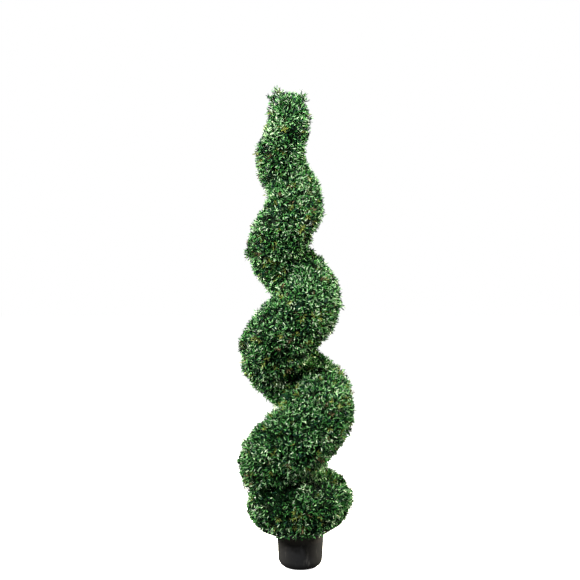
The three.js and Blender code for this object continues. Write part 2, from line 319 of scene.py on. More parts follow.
# Black plastic, as moulded: mottled, with faint scuffs and a paler band that is full at one height, which
# is dust and, round the pot's rim, a painted highlight with wear.
def makeBlackPlastic(name, look):
    material, tree, shader, place = newMaterial(name)
    grain = useGroup(tree, grainGroup, [("Place", place), ("Scale", look["grainScale"])])
    scuffs = useGroup(tree, scuffGroup, [
        ("Place", place), ("Stretch", look["scuffStretch"]), ("Scale", look["scuffScale"]),
        ("Threshold", look["scuffThreshold"]),
    ])
    dustAndHighlightBand = useGroup(tree, dustAndHighlightGroup, [
        ("Place", place), ("Full At", look["dustAndHighlightFullAt"]), ("Gone At", look["dustAndHighlightGoneAt"]),
        ("Scale", look["dustAndHighlightScale"]),
    ])
    mottled = mixColours(tree, grain.outputs["Mottle"], look["darkColour"], look["lightColour"])
    scuffed = mixColours(tree, scuffs.outputs["Mask"], mottled, look["scuffColour"])
    # the paler band laid over: dust, and round the pot's rim a painted highlight
    withDustAndHighlight = mixColours(tree, dustAndHighlightBand.outputs["Mask"], scuffed, look["dustAndHighlightColour"])
    tree.links.new(withDustAndHighlight, shader.inputs["Base Color"])
    rough = addNode(tree, "ShaderNodeMapRange", [
        ("Value", grain.outputs["Mottle"]),
        ("To Min", look["roughness"][0]),
        ("To Max", look["roughness"][1]),
    ])
    tree.links.new(rough.outputs["Result"], shader.inputs["Roughness"])
    shader.inputs["Specular IOR Level"].default_value = look["sheen"]
    addBump(tree, shader, grain.outputs["Grain"], look["bumpStrength"], look["bumpDistance"])
    return material


# A dull surface mottled in two colours, with its grain in relief.
def makeGrainy(name, look):
    material, tree, shader, place = newMaterial(name)
    grain = useGroup(tree, grainGroup, [("Place", place), ("Scale", look["grainScale"])])
    colour = mixColours(tree, grain.outputs["Mottle"], look["darkColour"], look["lightColour"])
    tree.links.new(colour, shader.inputs["Base Color"])
    shader.inputs["Roughness"].default_value = look["roughness"]
    shader.inputs["Specular IOR Level"].default_value = look["sheen"]
    addBump(tree, shader, grain.outputs["Grain"], look["bumpStrength"], look["bumpDistance"])
    return material


# Modelling tools

tiny = 1e-4  # what counts as the same height or radius
allSmooth = 180  # degrees, so that no edge shades as sharp


def pick(piece, mode, test):
    # leaves the piece in edit mode with only the vertices, edges or faces that pass the test selected
    bpy.context.view_layer.objects.active = piece
    bpy.ops.object.mode_set(mode="EDIT")
    bpy.ops.mesh.select_mode(type=mode)
    bpy.ops.mesh.select_all(action="DESELECT")
    cage = bmesh.from_edit_mesh(piece.data)
    parts = {"VERT": cage.verts, "EDGE": cage.edges, "FACE": cage.faces}[mode]
    for part in parts:
        part.select_set(test(part))
    bmesh.update_edit_mesh(piece.data)


def edgeHeights(edge):
    return [vert.co.z for vert in edge.verts]


def startPiece(name):
    piece = bpy.context.object
    piece.name = name
    piece.data.name = name
    bpy.ops.object.transform_apply(location=True, rotation=True, scale=True)
    return piece


def applyModifier(piece, kind, **values):
    modifier = piece.modifiers.new(kind.lower(), kind)
    for key, value in values.items():
        setattr(modifier, key, value)
    bpy.context.view_layer.objects.active = piece
    bpy.ops.object.modifier_apply(modifier=modifier.name)


def finishPiece(piece, replaced=(), material=None, smoothAngle=None):
    deselectAll()
    piece.select_set(True)
    bpy.context.view_layer.objects.active = piece
    if smoothAngle is not None:
        bpy.ops.object.shade_smooth_by_angle(angle=math.radians(smoothAngle))
    if material is not None:
        piece.data.materials.clear()
        piece.data.materials.append(material)
    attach(piece, "root")
    if replaced:
        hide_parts(*replaced)


# Pot

_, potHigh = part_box("pot")
pot = {
    "sides": 96,
    "height": potHigh.z,
    "footRadius": 0.0806,
    "mouthRadius": 0.0880,
    "cornerRadius": 0.030,
    "cornerSegments": (10, 8),  # outside and inside
    "wall": 0.0025,
    "floor": 0.004,
    "rimRound": 0.0008,
    "rimSegments": 3,
    "smoothAngle": 35,
    "seamAngles": (-15, 165),  # of the parting lines, round from the right-hand side
    "seamWidth": 0.0007,
    "seamProud": 0.0005,
}
potLook = {
    "grainScale": 900.0,
    "darkColour": (0.0050, 0.0052, 0.0060, 1),
    "lightColour": (0.0090, 0.0093, 0.0104, 1),
    "scuffStretch": (1, 1, 0.25),
    "scuffScale": 70.0,
    "scuffThreshold": 0.60,
    "scuffColour": (0.036, 0.035, 0.034, 1),
    # the paler band round the rim: a painted highlight, with some wear
    "dustAndHighlightFullAt": 0.124,
    "dustAndHighlightGoneAt": 0.098,
    "dustAndHighlightScale": 45.0,
    "dustAndHighlightColour": (0.090, 0.078, 0.062, 1),
    "roughness": (0.50, 0.68),
    "sheen": 0.34,
    "bumpStrength": 0.25,
    "bumpDistance": 0.0004,
}


def buildPot():
    height, floorZ, wall = pot["height"], pot["floor"], pot["wall"]
    outerSegments, innerSegments = pot["cornerSegments"]
    deselectAll()
    bpy.ops.mesh.primitive_cylinder_add(
        vertices=pot["sides"], radius=pot["footRadius"], depth=height, location=(0, 0, height / 2),
    )
    piece = startPiece("pot_moulded")
    pick(piece, "VERT", lambda vert: vert.co.z > height - tiny)
    flare = pot["mouthRadius"] / pot["footRadius"]
    bpy.ops.transform.resize(value=(flare, flare, 1), center_override=(0, 0, height))
    pick(piece, "EDGE", lambda edge: max(edgeHeights(edge)) < tiny)
    bpy.ops.mesh.bevel(
        offset=pot["cornerRadius"], segments=outerSegments, affect="EDGES", clamp_overlap=True,
    )
    pick(piece, "FACE", lambda face: len(face.verts) > 4 and face.calc_center_median().z > height - tiny)
    bpy.ops.mesh.inset(thickness=wall)
    bpy.ops.mesh.extrude_region_move(TRANSFORM_OT_translate={"value": (0, 0, floorZ - height)})
    innerFoot = (pot["footRadius"] - wall) / (pot["mouthRadius"] - wall)
    bpy.ops.transform.resize(value=(innerFoot, innerFoot, 1), center_override=(0, 0, floorZ))
    pick(piece, "EDGE", lambda edge: all(
        abs(vert.co.z - floorZ) < tiny and vert.co.xy.length > pot["footRadius"] - wall - tiny
        for vert in edge.verts
    ))
    bpy.ops.mesh.bevel(
        offset=pot["cornerRadius"] - wall, segments=innerSegments, affect="EDGES", clamp_overlap=True,
    )
    pick(piece, "EDGE", lambda edge: min(edgeHeights(edge)) > height - tiny and abs(
        edge.verts[0].co.xy.length - edge.verts[1].co.xy.length) < tiny)
    bpy.ops.mesh.bevel(offset=pot["rimRound"], segments=pot["rimSegments"], affect="EDGES")
    addPartingLines(piece)
    finishPiece(piece, ["pot"], makeBlackPlastic("potPlastic", potLook), pot["smoothAngle"])


def addPartingLines(piece):
    # two thin upright ribs where the halves of the mould met
    sector = math.pi / pot["sides"]

    def onSeam(edge):
        first, second = (vert.co for vert in edge.verts)
        upright = abs(first.z - second.z) > pot["height"] / 2
        outside = min(first.xy.length, second.xy.length) > pot["footRadius"] - pot["wall"] / 2
        if not (upright and outside):
            return False
        turn = math.atan2(first.y, first.x)
        return any(abs(math.remainder(turn - math.radians(seam), 2 * math.pi)) < sector
                   for seam in pot["seamAngles"])

    pick(piece, "EDGE", onSeam)
    bpy.ops.mesh.bevel(offset=pot["seamWidth"], segments=1, affect="EDGES")
    bpy.ops.mesh.select_mode(type="FACE")
    bpy.ops.mesh.extrude_region_shrink_fatten(TRANSFORM_OT_shrink_fatten={"value": pot["seamProud"]})
    bpy.ops.object.mode_set(mode="OBJECT")


# Fill

fillLook = {
    "grainScale": 420.0,
    "darkColour": (0.10, 0.095, 0.085, 1),
    "lightColour": (0.24, 0.225, 0.20, 1),
    "roughness": 0.93,
    "sheen": 0.5,
    "bumpStrength": 0.6,
    "bumpDistance": 0.002,
}


def dressFill():
    # cast cement, carried over from the frame
    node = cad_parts["pot_fill"]
    node.data.materials.clear()
    node.data.materials.append(makeGrainy("castCement", fillLook))


# Pole frame, in which the trunk, the tray and the foliage stand

pole = {
    "footX": 0.0113,
    "lean": 2.46,  # degrees to the left
    "footHeight": 0.012,
    "topHeight": 1.735,
    "footRadius": 0.011,
    "topRadius": 0.007,
    "sides": 24,
    "rings": 180,
    "ridgeScale": 0.007,
    "ridgeDepth": 0.0022,
    "ridgeDetail": 3,
    "ridgeLevel": 0.6,  # the texture's value that leaves the surface where it is
    "stretch": 6,  # of the ridges, up the pole
    "smoothAngle": 50,
}
poleFrame = Matrix.Translation((pole["footX"], 0, 0)) @ Matrix.Rotation(-math.radians(pole["lean"]), 4, "Y")


def moved(points, matrix):
    turn = np.array(matrix.to_3x3())
    return points @ turn.T + np.array(matrix.translation)


trunkLook = {
    "grainScale": 500.0,
    "darkColour": (0.020, 0.016, 0.010, 1),
    "lightColour": (0.075, 0.058, 0.034, 1),
    "roughness": 0.8,
    "sheen": 0.5,
    "bumpStrength": 0.5,
    "bumpDistance": 0.0008,
}


def buildTrunk():
    length = pole["topHeight"] - pole["footHeight"]
    middle = (pole["topHeight"] + pole["footHeight"]) / 2
    deselectAll()
    bpy.ops.mesh.primitive_cylinder_add(
        vertices=pole["sides"], radius=pole["footRadius"], depth=length, location=(0, 0, middle),
    )
    piece = startPiece("trunk_ridged")
    pick(piece, "EDGE", lambda edge: abs(edge.verts[0].co.z - edge.verts[1].co.z) > length / 2)
    bpy.ops.mesh.subdivide(number_cuts=pole["rings"])
    bpy.ops.object.mode_set(mode="OBJECT")
    for vert in piece.data.vertices:
        climb = (vert.co.z - pole["footHeight"]) / length
        taper = 1 + (pole["topRadius"] / pole["footRadius"] - 1) * climb
        vert.co.x *= taper
        vert.co.y *= taper
        vert.co.z /= pole["stretch"]
    ridges = bpy.data.textures.new("trunkRidges", "CLOUDS")
    ridges.noise_scale = pole["ridgeScale"]
    ridges.noise_depth = pole["ridgeDetail"]
    applyModifier(
        piece, "DISPLACE", texture=ridges, strength=pole["ridgeDepth"], mid_level=pole["ridgeLevel"],
    )
    piece.data.transform(poleFrame @ Matrix.Diagonal((1, 1, pole["stretch"], 1)))
    finishPiece(piece, ["trunk"], makeGrainy("trunkBark", trunkLook), pole["smoothAngle"])


# Tray and cushion at the foot, both tilted a little more than the pole

base = {
    "tilt": 2.5,  # degrees
    "tiltHeight": 0.123,  # that it tilts about
    "height": 0.243,
    "ringRadius": 0.100,
    "reach": 0.098,
    "lowestAngle": -58,  # of the roots round the ring, in degrees above its level
    "skirtFlare": 0.15,  # how far the skirt under them leans out as it goes down
    "skirtFace": -20,  # degrees that its sprays point up
}
tray = {
    "sides": 96,
    "innerRadius": 0.0965,
    "outerRadius": 0.1542,
    "innerHeight": 0.1231,
    "outerHeight": 0.1551,
    "thickness": 0.003,
    "edgeRound": 0.0009,
    "edgeSegments": 2,
    "edgeAngle": 50,  # degrees between faces, from which an edge is rounded
    "smoothAngle": 35,
}
trayLook = dict(
    potLook,
    scuffStretch=(1, 1, 1),
    dustAndHighlightFullAt=0.30,
    dustAndHighlightGoneAt=0.05,
    dustAndHighlightScale=30.0,
    dustAndHighlightColour=(0.034, 0.034, 0.034, 1),
)
turnAbout = Matrix.Translation((0, 0, base["tiltHeight"]))
baseFrame = turnAbout @ Matrix.Rotation(-math.radians(base["tilt"]), 4, "Y") @ turnAbout.inverted()


def buildTray():
    rise = tray["outerHeight"] - tray["innerHeight"]
    middle = (tray["outerHeight"] + tray["innerHeight"]) / 2
    deselectAll()
    bpy.ops.mesh.primitive_cone_add(
        vertices=tray["sides"], radius1=tray["innerRadius"], radius2=tray["outerRadius"], depth=rise,
        end_fill_type="NOTHING", location=(0, 0, middle),
    )
    piece = startPiece("tray_moulded")
    applyModifier(piece, "SOLIDIFY", thickness=tray["thickness"], offset=-1)
    applyModifier(
        piece, "BEVEL", width=tray["edgeRound"], segments=tray["edgeSegments"], limit_method="ANGLE",
        angle_limit=math.radians(tray["edgeAngle"]),
    )
    piece.data.transform(poleFrame @ baseFrame)
    plastic = makeBlackPlastic("trayPlastic", trayLook)
    finishPiece(piece, ["base_tray"], plastic, tray["smoothAngle"])


buildPot()
dressFill()
buildTrunk()
buildTray()
print("pot, fill, trunk and tray done")


# Coil of foliage. Heights are along the pole.
# Lists give a size at even steps from the coil's foot to its tip.

coil = {
    "footHeight": 0.220,
    "tipHeight": 1.714,
    "offset": (0.131, 0.081, 0.066, 0.035, 0.019),  # from the pole to the middle of the coil
    "reach": (0.108, 0.136, 0.1225, 0.1035, 0.0725),  # from there to the leaf tips
    "turn": (44, 355.5, 682, 1041, 1490),  # degrees round the pole
    "firstJoint": 270,
    "jointEvery": 180,
    "joints": 7,
    "undersideHeight": 0.198,
    "samples": 320,
}


def between(values, climb):
    # on the smooth curve through all values of the list
    steps = climb * (len(values) - 1)
    total = 0
    for i, value in enumerate(values):
        others = [j for j in range(len(values)) if j != i]
        total = total + value * math.prod((steps - j) / (i - j) for j in others)
    return total


def coilPoint(climb):
    turn = np.radians(between(coil["turn"], climb))
    offset = between(coil["offset"], climb)
    height = coil["footHeight"] + (coil["tipHeight"] - coil["footHeight"]) * climb
    return np.stack([offset * np.cos(turn), offset * np.sin(turn), height], axis=-1)


def unit(vectors):
    return vectors / np.linalg.norm(vectors, axis=-1, keepdims=True)


def coilAxes(climb):
    step = 1e-4
    along = unit(coilPoint(climb + step) - coilPoint(climb - step))
    outward = coilPoint(climb) * (1, 1, 0)
    outward = unit(outward - (outward * along).sum(-1, keepdims=True) * along)
    return along, outward, np.cross(along, outward)


coilSamples = np.linspace(0, 1, coil["samples"])
jointTurns = coil["firstJoint"] + np.arange(coil["joints"]) * coil["jointEvery"]
joints = np.interp(jointTurns, between(coil["turn"], coilSamples), coilSamples)
coilMiddles = coilPoint(coilSamples)
coilReaches = between(coil["reach"], coilSamples)


# Distance of points to the coil's outline, below 0 inside it.
def pastCoil(points):
    past = np.empty(len(points))
    chunk = 4000
    for i in range(0, len(points), chunk):
        gaps = np.linalg.norm(points[i:i + chunk, None, :] - coilMiddles[None], axis=-1) - coilReaches
        past[i:i + chunk] = gaps.min(axis=1)
    return past


# Distance of points to the cushion's outline, below 0 inside it.
def pastCushion(points):
    flat = moved(points, baseFrame.inverted())
    radius = np.hypot(flat[:, 0], flat[:, 1])
    outward = np.maximum(radius - base["ringRadius"], 0)
    return np.hypot(outward, flat[:, 2] - base["height"]) - base["reach"]


# How far leaves may hang below the tray's rim: a little at the front, and not at the sides.
def hangAt(points):
    front = (-points[:, 1] / tray["outerRadius"] - foliage["frontFrom"]) * foliage["frontRise"]
    front = np.clip(front, 0, 1)
    return spread(foliage["hang"], front)


# Height of the tray's upper side at radii from its middle, level past its rim, in its own frame.
def trayTop(radius):
    slope = (tray["outerHeight"] - tray["innerHeight"]) / (tray["outerRadius"] - tray["innerRadius"])
    thickness = tray["thickness"] * math.hypot(1, slope)
    outward = np.minimum(radius, tray["outerRadius"]) - tray["innerRadius"]
    return tray["innerHeight"] + thickness + outward * slope


# Whether points are above the tray's upper side, or past its rim and no lower than leaves hang there.
def clearOfTray(points):
    flat = moved(points, baseFrame.inverted())
    radius = np.hypot(flat[:, 0], flat[:, 1])
    return flat[:, 2] > trayTop(radius) - np.where(radius > tray["outerRadius"], hangAt(points), 0)


# Dark mats under the leaves: the plastic core the sprigs are pushed into, near-black as painted shade
# between the leaves

mat = {
    "depth": 0.036,  # under the outline
    "coilLength": 2.1,
    "ringSpacing": 0.014,
    "sides": 40,
    "domeAngles": (88, 70, 50, 30, 12),  # degrees of the rings of the coil's round ends
    "lumpScale": 0.018,
    "lumpDepth": 0.012,
    "overTray": 0.001,
    "cushionSides": 72,
    "cushionFloor": 0.153,
    "topRound": (0.060, 9),  # size and segments
    "footRound": (0.026, 5),
}
matAndShadeLook = {
    "grainScale": 600.0,
    # near-black: painted shade deep between the leaves
    "darkColour": (0.002, 0.005, 0.003, 1),
    "lightColour": (0.008, 0.018, 0.009, 1),
    "roughness": 0.9,
    "sheen": 0.05,
    "bumpStrength": 0.8,
    "bumpDistance": 0.003,
}
matAndShadeMaterial = makeGrainy("matWeaveAndShade", matAndShadeLook)


def lumpy(piece):
    lumps = bpy.data.textures.new(piece.name + "Lumps", "CLOUDS")
    lumps.noise_scale = mat["lumpScale"]
    applyModifier(piece, "DISPLACE", texture=lumps, strength=mat["lumpDepth"])


def restOnTray(piece):
    # lifts what would hang through the tray or over its rim
    flat = moved(np.array([vert.co for vert in piece.data.vertices]), baseFrame.inverted())
    flat[:, 2] = np.maximum(flat[:, 2], trayTop(np.hypot(flat[:, 0], flat[:, 1])) + mat["overTray"])
    piece.data.vertices.foreach_set("co", moved(flat, baseFrame).reshape(-1))


def roundedEnd(middle, along, radius, angles):
    # places and radii of the rings of a dome beyond the middle
    return [(middle + along * radius * math.sin(a), radius * math.cos(a)) for a in np.radians(angles)]


def buildCoilMat():
    climbs = np.linspace(0, 1, int(mat["coilLength"] / mat["ringSpacing"]))
    middles = coilPoint(climbs)
    radii = between(coil["reach"], climbs) - mat["depth"]
    along = coilAxes(climbs)[0]
    foot = roundedEnd(middles[0], -along[0], radii[0], mat["domeAngles"])
    tip = roundedEnd(middles[-1], along[-1], radii[-1], mat["domeAngles"][::-1])
    stations = foot + list(zip(middles, radii)) + tip
    deselectAll()
    bpy.ops.curve.primitive_bezier_circle_add()
    path = bpy.context.object
    path.name = "mat_coil"
    path.data.splines.clear()
    spline = path.data.splines.new("POLY")
    spline.points.add(len(stations) - 1)
    for point, (place, radius) in zip(spline.points, stations):
        point.co = (*place, 1)
        point.radius = radius
    path.data.bevel_depth = 1
    path.data.bevel_resolution = mat["sides"] // 2 - 2
    path.data.use_fill_caps = True
    bpy.ops.object.convert(target="MESH")
    piece = bpy.context.object
    lumpy(piece)
    restOnTray(piece)
    piece.data.transform(poleFrame)
    finishPiece(piece, (), matAndShadeMaterial, allSmooth)


def buildCushionMat():
    radius = base["ringRadius"] + base["reach"] - mat["depth"]
    low = mat["cushionFloor"]
    high = base["height"] + base["reach"] - mat["depth"]
    deselectAll()
    bpy.ops.mesh.primitive_cylinder_add(
        vertices=mat["cushionSides"], radius=radius, depth=high - low, location=(0, 0, (low + high) / 2),
    )
    piece = startPiece("mat_base")
    for (size, segments), test in (
        (mat["topRound"], lambda edge: min(edgeHeights(edge)) > high - tiny),
        (mat["footRound"], lambda edge: max(edgeHeights(edge)) < low + tiny),
    ):
        pick(piece, "EDGE", test)
        bpy.ops.mesh.bevel(offset=size, segments=segments, affect="EDGES")
    bpy.ops.object.mode_set(mode="OBJECT")
    lumpy(piece)
    piece.data.transform(poleFrame @ baseFrame)
    finishPiece(piece, (), matAndShadeMaterial, allSmooth)


buildCoilMat()
buildCushionMat()
print("mats done")


# Foliage: sprays rooted in the core, each a main twig with finer side twigs that carry leaf pairs

foliage = {
    "depth": 0.029,  # from the roots' surface to the leaf tips
    "overreach": (0.000, 0.020),  # past the outline, by spray and twig
    "tuftShare": 0.6,  # how much of that is the spray's own
    "pastFrame": 0.019,  # the furthest that leaves go past the solid model's box
    "hang": (-0.003, 0.018),  # below the tray's rim, at the sides and at the front
    "frontFrom": 0.74,  # of the tray's radius towards the front, where the hang starts to grow
    "frontRise": 6,  # how fast it grows from there
    "droopHeight": 0.185,  # below which the cushion's leaves may hang over the rim
    "skirt": 0.034,  # how far the cushion's core goes straight down to the tray
    "spacing": 0.0168,
    "coilCandidates": 90000,
    "endCandidates": 7500,  # round each end of the coil
    "cushionCandidates": 30000,
    "buried": 0.004,  # how deep in a neighbouring turn the coil's roots may be
    "hidden": 0.006,  # under the roots' surface, where no leaf shows
    "sunk": 0.012,  # how deep under the roots' surface the main twigs start
    "sway": 0.9,
    "upward": 0.12,
    "leaderStiffness": 5,  # how much less the highest sprigs sway
    "mainHeight": (0.007, 0.028),
    "fewTall": 1.6,  # the power that keeps most main twigs near the lower height
    "strayShare": 0.14,  # of the sprays, that stand past the others
    "strayReach": 0.014,
    "strayOdds": 10,  # how much oftener a stray twig has a colour of its own
    "sideTwigs": 5,
    "sideRoot": (0.05, 0.45),  # up the main twig
    "sideLean": (24, 58),
    "sideLength": (0.015, 0.024),
    "pairs": 3,
    "firstPair": 0.50,
    "leafLength": (0.0155, 0.0205),
    "leafShare": 0.215,
    "leafLean": (70, 32),  # degrees off the twig, at its foot and at its tip
    "leanSpread": 6,
    "turnSpread": 0.25,
    "tipSize": 0.85,
    "roll": 0.3,
    "twigRadius": 0.0011,
    "sideThickness": 0.7,  # of the side twigs beside the main ones
    "seed": 5,
}

leafShape = {  # of a leaf one unit long
    "sides": 6,
    "widen": (1.155, 0.85, 1),  # of its four side corners
    "edgeRise": 0.035,
    "tipDrop": 0.05,
}
plainSheen = 0.05
twigLook = {
    "colour": (0.045, 0.060, 0.022, 1),
    "roughness": 0.6,
}
tints = {  # name: base colour, roughness, share; from the darkest leaves to the palest
    # near-black: dark leaves, and painted shade deep in the sprays
    "leafDeepGreenAndShade": ((0.002, 0.012, 0.003, 1), 0.60, 0.42),
    "leafBlueGreen": ((0.008, 0.037, 0.022, 1), 0.50, 0.13),
    "leafMidGreen": ((0.020, 0.100, 0.020, 1), 0.40, 0.13),
    "leafFreshGreen": ((0.066, 0.228, 0.056, 1), 0.40, 0.13),
    "leafLightGreen": ((0.195, 0.385, 0.162, 1), 0.40, 0.12),
    # whitish: pale leaves, and a painted gloss highlight
    "leafPaleGreenAndHighlight": ((0.410, 0.535, 0.345, 1), 0.40, 0.08),
}
oddTints = {  # a few twigs of their own colour
    "leafOlive": ((0.150, 0.185, 0.038, 1), 0.45, 0.014),
    "leafBronze": ((0.110, 0.080, 0.040, 1), 0.45, 0.004),
}
tintSpread = {
    # pale tints thin out towards the foot: painted shade under the coil
    "footPaintedShade": 0.2,  # how much rarer the pale tints get towards the foot
    "paintedShadeBelow": 0.55,  # the height where that starts
    # pale tints thin out in the recess: painted shade
    "recessPaintedShade": 4.5,  # how much rarer they get in the recess above the cushion's front
    "spray": 0.36,  # how far apart the shades of sprays are
    "twig": 0.14,  # how far a twig's shade strays from its spray's
    "leaf": 0.22,  # how far a leaf's strays from its twig's
    # paler tips are the sprigs' own two-tone colour, and the darker feet also paint shade deeper in the
    # sprays
    "climb": 1.3,  # how much paler the leaves at a twig's tip are than those at its foot
}

# The highest sprigs, loose above the top: place of the tip in the pole's frame, and height
leaders = [
    ((-0.022, -0.006, 1.8080), 0.034),
    ((0.071, -0.006, 1.7900), 0.036),
    ((-0.044, -0.006, 1.7760), 0.022),
    ((0.048, 0.022, 1.7820), 0.030),
    ((0.076, -0.006, 1.7680), 0.026),
]
# Soft swells that leave the outline as uneven as clipped foliage
swells = {
    "waves": 10,
    "length": (0.045, 0.085),
    "depth": 0.0042,
}
# Recess between the cushion's front and the coil's first turn, that climbs as it goes round: pressed in,
# and with shade painted into its leaves' tints
recess = {
    "turns": (195, 335),  # degrees round the pole
    "fade": 20,  # degrees that its ends fade over
    "heights": (0.260, 0.362),
    "width": 0.024,
    "depth": 0.016,
}
# Patches of darker and paler sprays: depth is how far the shade goes either way
patches = {
    "waves": 12,
    "length": (0.050, 0.110),
    "depth": 0.16,
}


def makeLeafTemplate():
    # one leaf along +Y, a unit long, with its edges raised from the rib and its tip bent down
    deselectAll()
    bpy.ops.mesh.primitive_circle_add(
        vertices=leafShape["sides"], radius=0.5, fill_type="TRIFAN", location=(0, 0.5, 0),
    )
    piece = startPiece("leafTemplate")
    pick(piece, "VERT", lambda vert: abs(vert.co.x) > 0.1)
    bpy.ops.transform.resize(value=leafShape["widen"], center_override=(0, 0.5, 0))
    bpy.ops.transform.translate(value=(0, 0, leafShape["edgeRise"]))
    pick(piece, "VERT", lambda vert: vert.co.y > 0.9)
    bpy.ops.transform.translate(value=(0, 0, -leafShape["tipDrop"]))
    return takeTemplate(piece)


def makeTwigTemplate():
    # one three-sided spike along +Z, a unit long and a unit in radius at its foot
    deselectAll()
    bpy.ops.mesh.primitive_cone_add(vertices=3, radius1=1, radius2=0, depth=1, location=(0, 0, 0.5))
    places, faces = takeTemplate(startPiece("twigTemplate"))
    return places, np.array([
        [face[0], face[i], face[i + 1]] for face in faces.tolist() for i in range(1, len(face) - 1)
    ])


def takeTemplate(piece):
    if piece.mode != "OBJECT":
        bpy.ops.object.mode_set(mode="OBJECT")
    places = np.array([vert.co for vert in piece.data.vertices])
    faces = np.array([list(face.vertices) for face in piece.data.polygons])
    bpy.data.objects.remove(piece)
    return places, faces


def thinned(points, spacing):
    # the numbers of the points that lie at least the spacing from every point kept before them
    cells = {}
    kept = []
    for index, point in enumerate(points.tolist()):
        cell = [math.floor(value / spacing) for value in point]
        near = (
            other
            for x in (cell[0] - 1, cell[0], cell[0] + 1)
            for y in (cell[1] - 1, cell[1], cell[1] + 1)
            for z in (cell[2] - 1, cell[2], cell[2] + 1)
            for other in cells.get((x, y, z), ())
        )
        if all(math.dist(point, other) >= spacing for other in near):
            cells.setdefault(tuple(cell), []).append(point)
            kept.append(index)
    return np.array(kept)


def coilRoots(draw):
    # places on the coil's core and round its two ends, with normals and how far up the coil they are
    count = foliage["coilCandidates"]
    climb = draw.random(count)
    around = draw.random(count) * 2 * math.pi
    along, outward, across = coilAxes(climb)
    normal = outward * np.cos(around)[:, None] + across * np.sin(around)[:, None]
    endCount = foliage["endCandidates"]
    for end, way in ((0.0, -1), (1.0, 1)):
        ball = unit(draw.normal(size=(endCount, 3)))
        climb = np.append(climb, np.full(endCount, end))
        axis = coilAxes(np.array([end]))[0][0] * way
        ball = np.where((ball @ axis)[:, None] < 0, -ball, ball)
        normal = np.concatenate([normal, ball])
    core = between(coil["reach"], climb) - foliage["depth"]
    point = coilPoint(climb) + normal * core[:, None]
    order = draw.permutation(len(point))
    point, normal, climb = point[order], normal[order], climb[order]
    shown = pastCoil(point) > -foliage["depth"] - foliage["buried"]
    shown &= pastCushion(point) > -foliage["depth"]
    shown &= point[:, 2] > coil["undersideHeight"]
    return point[shown], normal[shown], climb[shown]


def cushionRoots(draw):
    # the profile runs from the tray up a short skirt, round the ring and in over the flat top
    count = foliage["cushionCandidates"]
    core = base["reach"] - foliage["depth"]
    lowest, highest = math.radians(base["lowestAngle"]), math.radians(90)
    arc = core * (highest - lowest)
    skirt = foliage["skirt"]
    slide = draw.random(count) * (skirt + arc + base["ringRadius"]) - skirt
    around = draw.random(count) * 2 * math.pi
    angle = np.clip(lowest + slide / core, lowest, highest)
    inward = np.maximum(slide - arc, 0)
    below = np.minimum(slide, 0)
    radius = base["ringRadius"] + core * np.cos(angle) - inward - below * base["skirtFlare"]
    height = base["height"] + core * np.sin(angle) + below
    point = np.stack([radius * np.cos(around), radius * np.sin(around), height], axis=-1)
    face = np.where(below < 0, math.radians(base["skirtFace"]), angle)
    normal = np.stack([
        np.cos(face) * np.cos(around), np.cos(face) * np.sin(around), np.sin(face),
    ], axis=-1)
    even = draw.random(count) < radius / (base["ringRadius"] + core)
    point = moved(point, baseFrame)
    normal = normal @ np.array(baseFrame.to_3x3()).T
    shown = even & (pastCoil(point) > -foliage["depth"])
    return point[shown], normal[shown]


def spread(values, share):
    return values[0] + (values[1] - values[0]) * share


def crossways(directions, draw):
    # a random unit vector square to each direction
    other = unit(draw.normal(size=directions.shape))
    return unit(other - (other * directions).sum(-1, keepdims=True) * directions)


def turnedAbout(vectors, axes, angles):
    c, s = np.cos(angles)[:, None], np.sin(angles)[:, None]
    alongAxes = axes * (axes * vectors).sum(-1, keepdims=True)
    return vectors * c + np.cross(axes, vectors) * s + alongAxes * (1 - c)


def growTwigs(points, normals, height, draw):
    # main twigs first, then the side twigs in turn
    # each has a foot, a direction, a length, where it comes out of the core, and its spray's number
    count = len(points)
    swayed = foliage["sway"] * (draw.random((count, 3)) - 0.5)
    stem = unit(normals + swayed + np.array([0, 0, foliage["upward"]]))
    feet = [points - stem * foliage["sunk"]]
    ways = [stem]
    lengths = [height + foliage["sunk"]]
    starts = [np.full(count, foliage["sunk"])]
    side = crossways(stem, draw)
    first = draw.random(count) * 2 * math.pi
    for i in range(foliage["sideTwigs"]):
        lean = np.radians(spread(foliage["sideLean"], draw.random(count)))
        outward = turnedAbout(side, stem, first + i / foliage["sideTwigs"] * 2 * math.pi)
        ways.append(stem * np.cos(lean)[:, None] + outward * np.sin(lean)[:, None])
        feet.append(points + stem * (height * spread(foliage["sideRoot"], draw.random(count)))[:, None])
        lengths.append(spread(foliage["sideLength"], draw.random(count)))
        starts.append(np.zeros(count))
    sprays = np.tile(np.arange(count), foliage["sideTwigs"] + 1)
    return [np.concatenate(parts) for parts in (feet, ways, lengths, starts)] + [sprays]


